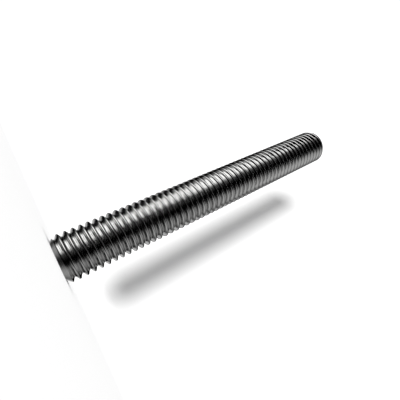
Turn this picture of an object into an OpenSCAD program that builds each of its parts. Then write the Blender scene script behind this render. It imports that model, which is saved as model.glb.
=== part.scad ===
// Threaded rod: a round steel bar with one right-hand screw thread over its whole length,
// cut square and chamfered at both ends. It stands on its lower end, with its axis along Z.
// All sizes are in millimetres.

/* [Thread] */
// Diameter over the crests
major_d = 10; // [8:0.5:12]
// Distance along the axis from one crest to the next
pitch = 1.5; // [1.25:0.05:2]
// Angle between the two flanks of a groove
flank_angle = 60; // [55:1:62]
// Width of the flat on a crest
crest_w = 0.1875; // [0.15:0.0125:0.3]
// Width of the flat at the bottom of a groove
root_w = 0.25; // [0.15:0.05:0.4]
// Straight steps in one turn of the thread
turn_steps = 24; // [20:2:26]

/* [Rod] */
// Length from end to end
rod_l = 80; // [40:1:84]
// Depth of the chamfer at each end, along the axis and inwards alike
chamfer = 1; // [0.5:0.1:1.5]

/* [Colour] */
// Colour of the bare steel
steel_colour = "Silver"; // [Silver, Gainsboro, DarkGray]

/* [Hidden] */

// Smoothness of the turned surfaces
$fn = 96;

major_r = major_d / 2;
flank_run = tan(flank_angle / 2);
groove_depth = (pitch - crest_w - root_w) / (2 * flank_run);
minor_r = major_r - groove_depth;

// The swept ridge stands proud of its crest, and the turned blank cuts it back to a true cylinder.
tip_over = 0.6 * crest_w;
tip_r = major_r + tip_over;
tip_w = crest_w - 2 * tip_over * flank_run;

// One groove and one ridge, as [radius, height]: the root flat, then up the flank to the tip flat
profile = [
    [minor_r, -root_w / 2],
    [minor_r, root_w / 2],
    [tip_r, (pitch - tip_w) / 2],
    [tip_r, (pitch + tip_w) / 2]
];
corners = len(profile);
top_corner = corners - 1;

// The sweep starts below the lower end and runs on past the upper one, so that its blunt
// beginnings fall outside the finished length.
turns_below = 1;
turns_above = 0.6;
steps = ceil(turn_steps * (rod_l / pitch + turns_below + turns_above));
last_turn = steps - turn_steps;
point_l = 2 * pitch;

// Place of one corner of the profile after a number of steps round the helix
function swept(step, corner) =
    let (
        turn = step / turn_steps,
        r = corner[0],
        z = corner[1] + pitch * (turn - turns_below)
    )
    [r * cos(360 * turn), r * sin(360 * turn), z];

// Number of a corner in the list of points
function at(step, corner) = step * corners + corner;

// Two triangles between four points, which run clockwise seen from outside
function patch(a, b, c, d) = [[a, b, c], [a, c, d]];

// The threaded core, closed by a cone beyond each end of the finished length
module thread_sweep() {
    helix_points = [for (i = [0 : steps]) for (corner = profile) swept(i, corner)];
    low_point = len(helix_points);
    high_point = low_point + 1;
    cone_points = [[0, 0, -point_l], [0, 0, rod_l + point_l]];

    // Root, lower flank and tip of each step
    ridge = [
        for (i = [0 : steps - 1])
            for (c = [0 : top_corner - 1])
                each patch(at(i, c), at(i, c + 1), at(i + 1, c + 1), at(i + 1, c))
    ];
    // Upper flank, from each tip down to the root of the next turn
    upper_flank = [
        for (i = [0 : last_turn - 1])
            let (above = i + turn_steps)
            each patch(at(i, top_corner), at(above, 0), at(above + 1, 0), at(i + 1, top_corner))
    ];
    low_cone = [
        for (i = [0 : turn_steps - 1]) [low_point, at(i, 0), at(i + 1, 0)],
        [low_point, at(turn_steps, 0), at(0, top_corner)],
        for (c = [0 : top_corner - 1]) [low_point, at(0, c + 1), at(0, c)]
    ];
    high_cone = [
        for (i = [last_turn : steps - 1]) [high_point, at(i + 1, top_corner), at(i, top_corner)],
        [high_point, at(last_turn, top_corner), at(steps, 0)],
        for (c = [0 : top_corner - 1]) [high_point, at(steps, c), at(steps, c + 1)]
    ];
    polyhedron(
        points = concat(helix_points, cone_points),
        faces = concat(ridge, upper_flank, low_cone, high_cone),
        convexity = 6
    );
}

// The plain bar before threading: crest diameter, square ends and a chamfer at each
module turned_blank() {
    end_r = major_r - chamfer;
    rotate_extrude()
        polygon([
            [0, 0],
            [end_r, 0],
            [major_r, chamfer],
            [major_r, rod_l - chamfer],
            [end_r, rod_l],
            [0, rod_l]
        ]);
}

module rod() {
    color(steel_colour)
        intersection() {
            turned_blank();
            thread_sweep();
        }
}

rod();
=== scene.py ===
import math

import bmesh
import bpy
from mathutils import Matrix, Vector


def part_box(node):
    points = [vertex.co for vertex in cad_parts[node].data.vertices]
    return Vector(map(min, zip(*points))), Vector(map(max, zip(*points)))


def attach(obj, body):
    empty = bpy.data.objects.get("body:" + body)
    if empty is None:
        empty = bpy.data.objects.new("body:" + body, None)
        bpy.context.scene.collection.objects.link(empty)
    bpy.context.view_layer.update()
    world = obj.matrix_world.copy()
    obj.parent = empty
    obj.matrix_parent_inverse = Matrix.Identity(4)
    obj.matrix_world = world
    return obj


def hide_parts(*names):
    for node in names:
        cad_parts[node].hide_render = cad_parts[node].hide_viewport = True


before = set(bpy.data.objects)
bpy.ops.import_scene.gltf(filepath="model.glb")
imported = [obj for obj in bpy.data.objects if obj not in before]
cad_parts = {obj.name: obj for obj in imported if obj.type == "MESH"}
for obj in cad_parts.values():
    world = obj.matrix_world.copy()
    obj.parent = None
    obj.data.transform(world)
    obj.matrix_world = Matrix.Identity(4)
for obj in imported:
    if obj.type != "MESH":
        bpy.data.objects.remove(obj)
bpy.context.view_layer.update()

bl_info = {
    "name": "Threaded Rod",
    "version": (1, 0, 0),
    "blender": (4, 5, 0),
    "location": "3D View > Sidebar > Threaded Rod",
    "description": "A rolled steel threaded rod standing on its end in a small pale studio",
    "category": "Add Mesh",
}

MM = 0.001
NODE_LOW, NODE_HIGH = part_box("rod")

# Points closer than this become one while a shape is still in millimetres
SAME_POINT = 0.0005
# Points closer than this become one in the finished mesh
SLIVER = 0.001 * MM
# Faces that meet at more than this angle show an edge
SHARP_ANGLE = math.radians(35)


# ---------------------------------------------------------------- settings


class RodSettings(bpy.types.PropertyGroup):
    """Sizes of the threaded rod"""

    length: bpy.props.FloatProperty(
        name="Length",
        description="From one end face to the other",
        default=NODE_HIGH.z - NODE_LOW.z,
        unit="LENGTH",
    )
    major_radius: bpy.props.FloatProperty(
        name="Crest Radius",
        description="Radius over the crests of the thread",
        default=NODE_HIGH.x,
        unit="LENGTH",
    )
    pitch: bpy.props.FloatProperty(
        name="Pitch",
        description="Distance along the axis from one crest to the next",
        default=1.5 * MM,
        unit="LENGTH",
    )
    flank_angle: bpy.props.FloatProperty(
        name="Flank Angle",
        description="Angle between the two flanks of a groove",
        default=math.radians(60),
        subtype="ANGLE",
    )
    crest_width: bpy.props.FloatProperty(
        name="Crest Width",
        description="Width of the flat on a crest before its corners are rounded",
        default=0.32 * MM,
        unit="LENGTH",
    )
    crest_rounding: bpy.props.FloatProperty(
        name="Crest Rounding",
        description="How far each corner of the crest is eased back",
        default=0.15 * MM,
        unit="LENGTH",
    )
    root_radius: bpy.props.FloatProperty(
        name="Root Radius",
        description="Radius of the rounding at the bottom of the groove",
        default=0.2165 * MM,
        unit="LENGTH",
    )
    chamfer: bpy.props.FloatProperty(
        name="Chamfer",
        description="Depth of the chamfer at each end, along the axis and inwards alike",
        default=1.0 * MM,
        unit="LENGTH",
    )
    turn_steps: bpy.props.IntProperty(
        name="Steps in a Turn",
        description="Faces round one turn of the thread",
        default=72,
    )


class SteelSettings(bpy.types.PropertyGroup):
    """Finish of the steel"""

    colour: bpy.props.FloatVectorProperty(
        name="Steel Colour",
        description="Colour of the bare polished steel",
        default=(0.63, 0.63, 0.625),
        size=3,
        subtype="COLOR",
    )
    roughness: bpy.props.FloatProperty(
        name="Roughness",
        description="Roughness of the cleanest steel",
        default=0.05,
        subtype="FACTOR",
    )
    streaks: bpy.props.FloatProperty(
        name="Streak Depth",
        description="Depth of the fine marks that rolling leaves along the thread",
        default=0.002 * MM,
        unit="LENGTH",
    )
    waves: bpy.props.FloatProperty(
        name="Wave Depth",
        description="Depth of the slight unevenness of the rolled surface",
        default=0.05 * MM,
        unit="LENGTH",
    )


class StudioSettings(bpy.types.PropertyGroup):
    """Floor, wall, lights and camera"""

    wall_azimuth: bpy.props.FloatProperty(
        name="Wall Facing",
        description="Direction that the wall behind the rod faces, seen from above",
        default=math.radians(-22.5),
        subtype="ANGLE",
    )
    wall_distance: bpy.props.FloatProperty(
        name="Wall Distance",
        description="From the rod's axis to the wall behind it",
        default=31 * MM,
        unit="LENGTH",
    )
    key_azimuth: bpy.props.FloatProperty(
        name="Key Light Azimuth",
        description="Direction the key light comes from, from the front",
        default=math.radians(-13.1),
        subtype="ANGLE",
    )
    camera_azimuth: bpy.props.FloatProperty(
        name="Camera Azimuth",
        description="Direction of the camera seen from the rod, from the front",
        default=math.radians(16.7),
        subtype="ANGLE",
    )
    camera_distance: bpy.props.FloatProperty(
        name="Camera Distance",
        description="From the rod's axis to the camera, measured level",
        default=60.7 * MM,
        unit="LENGTH",
    )
    camera_height: bpy.props.FloatProperty(
        name="Camera Height",
        description="Height of the camera over the floor",
        default=1.52 * MM,
        unit="LENGTH",
    )
    camera_pan: bpy.props.FloatProperty(
        name="Camera Pan",
        description="Turn of the camera away from the rod's axis",
        default=math.radians(-0.7),
        subtype="ANGLE",
    )
    camera_tilt: bpy.props.FloatProperty(
        name="Camera Tilt",
        description="Upward tilt of the camera",
        default=math.radians(28.0),
        subtype="ANGLE",
    )
    camera_roll: bpy.props.FloatProperty(
        name="Camera Roll",
        description="Turn of the camera about its own line of sight",
        default=math.radians(65.2),
        subtype="ANGLE",
    )
    camera_lens: bpy.props.FloatProperty(
        name="Camera Lens",
        description="Focal length in millimetres on a 36 mm sensor",
        default=24.65,
        unit="CAMERA",
    )


# ---------------------------------------------------------------- shader maths


class Value:
    """A node socket that takes part in Python arithmetic, each step adding a Math node"""

    def __init__(self, shader, socket):
        self.shader = shader
        self.socket = socket

    def __add__(self, other):
        return self.shader.maths("ADD", self, other)

    def __radd__(self, other):
        return self.shader.maths("ADD", other, self)

    def __sub__(self, other):
        return self.shader.maths("SUBTRACT", self, other)

    def __rsub__(self, other):
        return self.shader.maths("SUBTRACT", other, self)

    def __mul__(self, other):
        return self.shader.maths("MULTIPLY", self, other)

    def __rmul__(self, other):
        return self.shader.maths("MULTIPLY", other, self)

    def __truediv__(self, other):
        return self.shader.maths("DIVIDE", self, other)

    def __rtruediv__(self, other):
        return self.shader.maths("DIVIDE", other, self)

    def __pow__(self, other):
        return self.shader.maths("POWER", self, other)

    def __rpow__(self, other):
        return self.shader.maths("POWER", other, self)

    def __neg__(self):
        return self.shader.maths("MULTIPLY", self, -1.0)


class Shader:
    """Builds the node tree of one material or world"""

    def __init__(self, owner):
        owner.use_nodes = True
        self.tree = owner.node_tree
        self.tree.nodes.clear()

    def add(self, kind, settings=None, values=None, output=0):
        """Adds a node, sets it up, feeds its inputs and returns one of its outputs"""
        node = self.tree.nodes.new(kind)
        for name, setting in (settings or {}).items():
            setattr(node, name, setting)
        for name, value in (values or {}).items():
            if isinstance(value, Value):
                self.tree.links.new(value.socket, node.inputs[name])
            else:
                node.inputs[name].default_value = value
        return Value(self, node.outputs[output]) if node.outputs else None

    def maths(self, operation, *numbers):
        return self.add("ShaderNodeMath", {"operation": operation}, dict(enumerate(numbers)))

    def split(self, vector):
        """The three parts of a vector"""
        parts = self.add("ShaderNodeSeparateXYZ", {}, {"Vector": vector}).socket.node.outputs
        return [Value(self, part) for part in parts]

    def length(self, x, y):
        """Length of a vector in two dimensions"""
        return self.maths("SQRT", x * x + y * y)

    def grain(self, place, repeats, detail):
        """Noise that repeats a number of times along each of three coordinates"""
        stretched = {axis: part * times for axis, part, times in zip("XYZ", place, repeats)}
        vector = self.add("ShaderNodeCombineXYZ", {}, stretched)
        values = {"Vector": vector, "Scale": 1.0, "Detail": detail}
        return self.add("ShaderNodeTexNoise", {}, values)

    def bump(self, height, distance):
        values = {"Height": height, "Strength": 1.0, "Distance": distance}
        return self.add("ShaderNodeBump", {}, values)

    def finish(self, values):
        """Adds the Principled shader and joins it to the output"""
        surface = self.add("ShaderNodeBsdfPrincipled", {}, values)
        self.add("ShaderNodeOutputMaterial", {}, {"Surface": surface})


# ---------------------------------------------------------------- helpers


def finished_object(name, bm):
    """Turns a bmesh shaped in millimetres into an object in metres, and frees it"""
    bmesh.ops.scale(bm, vec=(MM, MM, MM), verts=bm.verts)
    mesh = bpy.data.meshes.new(name)
    bm.to_mesh(mesh)
    bm.free()
    piece = bpy.data.objects.new(name, mesh)
    bpy.context.scene.collection.objects.link(piece)
    return piece


def chain(bm, points):
    """Joins a few points in the XZ plane by edges and returns the vertices"""
    verts = [bm.verts.new((x, 0, z)) for x, z in points]
    for first, second in zip(verts, verts[1:]):
        bm.edges.new((first, second))
    return verts


def rounded(bm, verts, offset, segments):
    """Rounds the corners of a chain"""
    bmesh.ops.bevel(
        bm,
        geom=verts,
        offset=offset,
        offset_type="OFFSET",
        affect="VERTICES",
        segments=segments,
        profile=0.5,
        material=-1,
    )


def facing(azimuth):
    """Unit vector that points level from the rod in a direction"""
    return Vector((math.sin(azimuth), -math.cos(azimuth), 0))


# ---------------------------------------------------------------- finishes


def thread_coordinates(shader, pitch):
    """Across the ridge and along the helix, both in turns, and out from the axis in millimetres"""
    x, y, z = shader.split(shader.add("ShaderNodeTexCoord", output="Object"))
    turn = shader.maths("ARCTAN2", y, x) / math.tau
    ridge = z / pitch - turn
    number = shader.maths("FLOOR", ridge)
    return ridge - number, number + turn, shader.length(x, y) / MM


def rolled_steel(rod, steel):
    """Bright rolled steel with fine marks along the thread"""
    streak_repeats = (9, 2.5, 6)
    wave_repeats = (1.2, 16, 1)
    streak_roughness = 0.06

    material = bpy.data.materials.new("rolled_thread")
    shader = Shader(material)
    place = thread_coordinates(shader, rod.pitch)
    streak = shader.grain(place, streak_repeats, detail=3.0)
    wave = shader.grain(place, wave_repeats, detail=1.0)
    shader.finish(
        {
            "Base Color": (*steel.colour, 1),
            "Metallic": 1.0,
            "Roughness": steel.roughness + streak_roughness * streak,
            "Normal": shader.bump(streak * steel.streaks + wave * steel.waves, 1.0),
        }
    )
    return material


def turned_steel(steel):
    """Bare cut steel with the round marks of the lathe"""
    rings_per_millimetre = 12
    ring_depth = 0.004 * MM
    smooth_roughness, ring_roughness = 0.22, 0.12

    material = bpy.data.materials.new("turned_end")
    shader = Shader(material)
    x, y = shader.split(shader.add("ShaderNodeTexCoord", output="Object"))[:2]
    place = (shader.length(x, y) / MM, 0.0, 0.0)
    ring = shader.grain(place, (rings_per_millimetre, 1, 1), detail=2.0)
    shader.finish(
        {
            "Base Color": (*steel.colour, 1),
            "Metallic": 1.0,
            "Roughness": smooth_roughness + ring_roughness * ring,
            "Normal": shader.bump(ring, ring_depth),
        }
    )
    return material


def pale_paper():
    """Matt white paper for the backdrop"""
    material = bpy.data.materials.new("pale_paper")
    Shader(material).finish({"Base Color": (0.8, 0.8, 0.8, 1), "Roughness": 0.9})
    return material


# ---------------------------------------------------------------- the rod


def thread_turn(rod):
    """One turn of the thread: a groove between two half crests, swept round by a pitch"""
    crest_segments, root_segments, flank_cuts = 3, 8, 2
    radius = rod.major_radius / MM
    pitch = rod.pitch / MM
    half_crest = rod.crest_width / MM / 2
    flank_run = math.tan(rod.flank_angle / 2)
    sharp_depth = (pitch / 2 - half_crest) / flank_run
    root_easing = rod.root_radius / MM / flank_run

    bm = bmesh.new()
    verts = chain(
        bm,
        [
            (radius, -pitch / 2),
            (radius, half_crest - pitch / 2),
            (radius - sharp_depth, 0),
            (radius, pitch / 2 - half_crest),
            (radius, pitch / 2),
        ],
    )
    rounded(bm, [verts[2]], root_easing, root_segments)
    rounded(bm, [verts[1], verts[3]], rod.crest_rounding / MM, crest_segments)
    shortest_flank = pitch / 4
    flanks = [edge for edge in bm.edges if edge.calc_length() > shortest_flank]
    bmesh.ops.subdivide_edges(bm, edges=flanks, cuts=flank_cuts)
    bmesh.ops.spin(
        bm,
        geom=bm.verts[:] + bm.edges[:],
        cent=(0, 0, 0),
        axis=(0, 0, 1),
        dvec=(0, 0, pitch / rod.turn_steps),
        angle=math.tau,
        steps=rod.turn_steps,
        use_duplicate=False,
    )
    return bm


def thread_sweep(rod):
    """The whole thread, a little longer than the rod at each end, closed by flat cuts"""
    turns_below, turns_above = 2, 2
    length = rod.length / MM
    pitch = rod.pitch / MM
    overhang = pitch / 3
    bm = thread_turn(rod)
    turn = bm.verts[:] + bm.edges[:] + bm.faces[:]
    turns = turns_below + math.ceil(length / pitch) + turns_above
    for number in range(1, turns):
        copy = bmesh.ops.duplicate(bm, geom=turn)
        moved = [item for item in copy["geom"] if isinstance(item, bmesh.types.BMVert)]
        bmesh.ops.translate(bm, verts=moved, vec=(0, 0, number * pitch))
    bmesh.ops.translate(bm, verts=bm.verts, vec=(0, 0, -turns_below * pitch))
    bmesh.ops.remove_doubles(bm, verts=bm.verts, dist=SAME_POINT)
    for place, way in ((-overhang, -1), (length + overhang, 1)):
        cut = bmesh.ops.bisect_plane(
            bm,
            geom=bm.verts[:] + bm.edges[:] + bm.faces[:],
            plane_co=(0, 0, place),
            plane_no=(0, 0, way),
            clear_outer=True,
        )
        rim = [item for item in cut["geom_cut"] if isinstance(item, bmesh.types.BMEdge)]
        bmesh.ops.contextual_create(bm, geom=rim)
    bmesh.ops.recalc_face_normals(bm, faces=bm.faces)
    return bm


def turned_blank(rod):
    """A bar with square, chamfered ends, which runs clear of the crests between its chamfers"""
    clearance = 0.3
    steps = 2 * rod.turn_steps
    length = rod.length / MM
    chamfer = rod.chamfer / MM
    end_radius = rod.major_radius / MM - chamfer
    reach = chamfer + clearance
    bm = bmesh.new()
    chain(
        bm,
        [
            (0, 0),
            (end_radius, 0),
            (end_radius + reach, reach),
            (end_radius + reach, length - reach),
            (end_radius, length),
            (0, length),
        ],
    )
    bmesh.ops.spin(
        bm,
        geom=bm.verts[:] + bm.edges[:],
        cent=(0, 0, 0),
        axis=(0, 0, 1),
        angle=math.tau,
        steps=steps,
        use_merge=True,
        use_duplicate=False,
    )
    bmesh.ops.remove_doubles(bm, verts=bm.verts, dist=SAME_POINT)
    bmesh.ops.recalc_face_normals(bm, faces=bm.faces)
    return bm


def merge_slivers(mesh):
    """Merges the points that a cut leaves almost on top of each other"""
    bm = bmesh.new()
    bm.from_mesh(mesh)
    bmesh.ops.remove_doubles(bm, verts=bm.verts, dist=SLIVER)
    bm.to_mesh(mesh)
    bm.free()


class OBJECT_OT_threaded_rod(bpy.types.Operator):
    """Add the steel rod with its thread, ends and finish"""

    bl_idname = "object.threaded_rod_add"
    bl_label = "Add Threaded Rod"

    def execute(self, context):
        rod, steel = context.scene.rod, context.scene.steel
        piece = finished_object("threaded_rod", thread_sweep(rod))
        blank = finished_object("turned_blank", turned_blank(rod))
        piece.data.materials.append(rolled_steel(rod, steel))
        blank.data.materials.append(turned_steel(steel))
        cut = piece.modifiers.new("ends", "BOOLEAN")
        cut.operation = "INTERSECT"
        cut.solver = "EXACT"
        cut.material_mode = "TRANSFER"
        cut.object = blank
        result = piece.evaluated_get(context.evaluated_depsgraph_get())
        finished = bpy.data.meshes.new_from_object(result)
        merge_slivers(finished)
        piece.modifiers.clear()
        piece.data = finished
        finished.name = piece.name
        bpy.data.objects.remove(blank)
        finished.shade_smooth()
        finished.set_sharp_from_angle(angle=SHARP_ANGLE)
        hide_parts("rod")
        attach(piece, "root")
        return {"FINISHED"}


# ---------------------------------------------------------------- the studio


def backdrop(studio):
    """Pale floor that sweeps up into a pale wall, and neither lights, shades nor shows in the rod"""
    floor_reach, wall_height, width = 400, 400, 800
    sweep, sweep_segments = 8, 8
    distance = studio.wall_distance / MM
    bm = bmesh.new()
    verts = chain(bm, [(-floor_reach, 0), (distance, 0), (distance, wall_height)])
    rounded(bm, [verts[1]], sweep, sweep_segments)
    bmesh.ops.translate(bm, verts=bm.verts, vec=(0, -width / 2, 0))
    side = bmesh.ops.extrude_edge_only(bm, edges=bm.edges)
    moved = [item for item in side["geom"] if isinstance(item, bmesh.types.BMVert)]
    bmesh.ops.translate(bm, verts=moved, vec=(0, width, 0))
    turn = Matrix.Rotation(studio.wall_azimuth + math.radians(90), 3, "Z")
    bmesh.ops.rotate(bm, cent=(0, 0, 0), matrix=turn, verts=bm.verts)
    bmesh.ops.recalc_face_normals(bm, faces=bm.faces)
    sheet = finished_object("backdrop", bm)
    sheet.data.shade_smooth()
    sheet.data.materials.append(pale_paper())
    sheet.visible_diffuse = False
    sheet.visible_glossy = False
    sheet.visible_shadow = False


def distant_light(name, azimuth, elevation, spread, strength):
    """Light from far away that falls on the paper and is not mirrored in the steel"""
    light = bpy.data.lights.new(name, "SUN")
    light.angle = spread
    light.energy = strength
    lamp = bpy.data.objects.new(name, light)
    lamp.rotation_euler = (math.radians(90) - elevation, 0, azimuth)
    lamp.visible_glossy = False
    bpy.context.scene.collection.objects.link(lamp)


def soft_panel(shader, direction, centre, reach, strength):
    """Brightness of a lit panel, far away, that fades out towards its edges

    centre is its azimuth and elevation, and reach is its half width and half height, all in
    degrees. strength is its brightness in the middle.
    """
    x, y, z = direction
    azimuth, elevation = (math.radians(angle) for angle in centre)
    half_width, half_height = (math.radians(angle) for angle in reach)
    way = facing(azimuth)
    turned_aside = 1 - (x * way.x + y * way.y) / shader.length(x, y)
    aside = turned_aside / (1 - math.cos(half_width))
    above = (shader.maths("ARCSINE", z) - elevation) / half_height
    return strength * math.e ** -(aside**2 + above**4)


def mirrored_room(shader):
    """Brightness of the dark room round the rod, lit by panels that show in the steel"""
    direction = shader.split(shader.add("ShaderNodeTexCoord", output="Generated"))
    softbox = soft_panel(shader, direction, (-47, 10), (32, 20), 2.5)
    front_fill = soft_panel(shader, direction, (-20, 20), (34, 40), 0.08)
    right_wall = soft_panel(shader, direction, (104, -8), (36, 33), 0.34)
    right_floor = soft_panel(shader, direction, (120, -50), (45, 20), 0.45)
    right_ceiling = soft_panel(shader, direction, (104, 58), (40, 15), 0.5)
    rear_wall = soft_panel(shader, direction, (-170, -12), (42, 12), 0.6)
    left_lamp = soft_panel(shader, direction, (-105, 38), (30, 18), 0.25)
    left_floor = soft_panel(shader, direction, (-100, -60), (25, 18), 0.5)
    overhead = soft_panel(shader, direction, (180, 90), (180, 16), 0.9)
    right_side = right_wall + right_floor + right_ceiling
    left_side = left_lamp + left_floor
    return softbox + front_fill + right_side + rear_wall + left_side + overhead


def surrounding_light(camera_level, fill_level):
    """White to look at, a soft fill on the paper, and the dark room in the steel"""
    world = bpy.data.worlds.new("studio_room")
    shader = Shader(world)
    seen = shader.add("ShaderNodeLightPath", output="Is Camera Ray")
    glossy = shader.add("ShaderNodeLightPath", output="Is Glossy Ray")
    room = mirrored_room(shader)
    level = fill_level + seen * (camera_level - fill_level) + glossy * (room - fill_level)
    surface = shader.add("ShaderNodeBackground", {}, {"Color": (1, 1, 1, 1), "Strength": level})
    shader.add("ShaderNodeOutputWorld", {}, {"Surface": surface})
    world.cycles.sampling_method = "NONE"
    bpy.context.scene.world = world


def add_camera(studio):
    """Camera close to the rod's lower end, looking up along it"""
    lens = bpy.data.cameras.new("camera")
    lens.sensor_width = 36
    lens.lens = studio.camera_lens
    lens.clip_start = 1 * MM
    camera = bpy.data.objects.new("camera", lens)
    height = Vector((0, 0, studio.camera_height))
    camera.location = facing(studio.camera_azimuth) * studio.camera_distance + height
    aim = (
        Matrix.Rotation(studio.camera_azimuth + studio.camera_pan, 3, "Z")
        @ Matrix.Rotation(math.radians(90) + studio.camera_tilt, 3, "X")
        @ Matrix.Rotation(studio.camera_roll, 3, "Z")
    )
    camera.rotation_euler = aim.to_euler()
    bpy.context.scene.collection.objects.link(camera)
    bpy.context.scene.camera = camera


class SCENE_OT_rod_studio(bpy.types.Operator):
    """Add the pale floor and wall, the soft lights and the camera"""

    bl_idname = "scene.rod_studio_add"
    bl_label = "Add Studio"

    def execute(self, context):
        studio = context.scene.studio
        backdrop(studio)
        distant_light(
            "key_light",
            azimuth=studio.key_azimuth,
            elevation=math.radians(-14),
            spread=math.radians(22),
            strength=4.3,
        )
        distant_light(
            "top_light",
            azimuth=0,
            elevation=math.radians(90),
            spread=math.radians(5),
            strength=3.1,
        )
        surrounding_light(camera_level=1.05, fill_level=0.33)
        add_camera(studio)
        context.scene.view_settings.view_transform = "Standard"
        return {"FINISHED"}


# ---------------------------------------------------------------- the add-on


class VIEW3D_PT_threaded_rod(bpy.types.Panel):
    """Sizes, finish and studio of the threaded rod"""

    bl_idname = "VIEW3D_PT_threaded_rod"
    bl_label = "Threaded Rod"
    bl_space_type = "VIEW_3D"
    bl_region_type = "UI"
    bl_category = "Threaded Rod"

    def draw(self, context):
        for group in (context.scene.rod, context.scene.steel, context.scene.studio):
            box = self.layout.box()
            for name in group.bl_rna.properties.keys():
                if name not in ("rna_type", "name"):
                    box.prop(group, name)
        self.layout.operator(OBJECT_OT_threaded_rod.bl_idname)
        self.layout.operator(SCENE_OT_rod_studio.bl_idname)


CLASSES = (
    RodSettings,
    SteelSettings,
    StudioSettings,
    OBJECT_OT_threaded_rod,
    SCENE_OT_rod_studio,
    VIEW3D_PT_threaded_rod,
)


def register():
    for each in CLASSES:
        bpy.utils.register_class(each)
    bpy.types.Scene.rod = bpy.props.PointerProperty(type=RodSettings)
    bpy.types.Scene.steel = bpy.props.PointerProperty(type=SteelSettings)
    bpy.types.Scene.studio = bpy.props.PointerProperty(type=StudioSettings)


def unregister():
    del bpy.types.Scene.studio
    del bpy.types.Scene.steel
    del bpy.types.Scene.rod
    for each in reversed(CLASSES):
        bpy.utils.unregister_class(each)


def main():
    register()
    bpy.ops.object.threaded_rod_add()
    bpy.ops.scene.rod_studio_add()


if __name__ == "__main__":
    main()
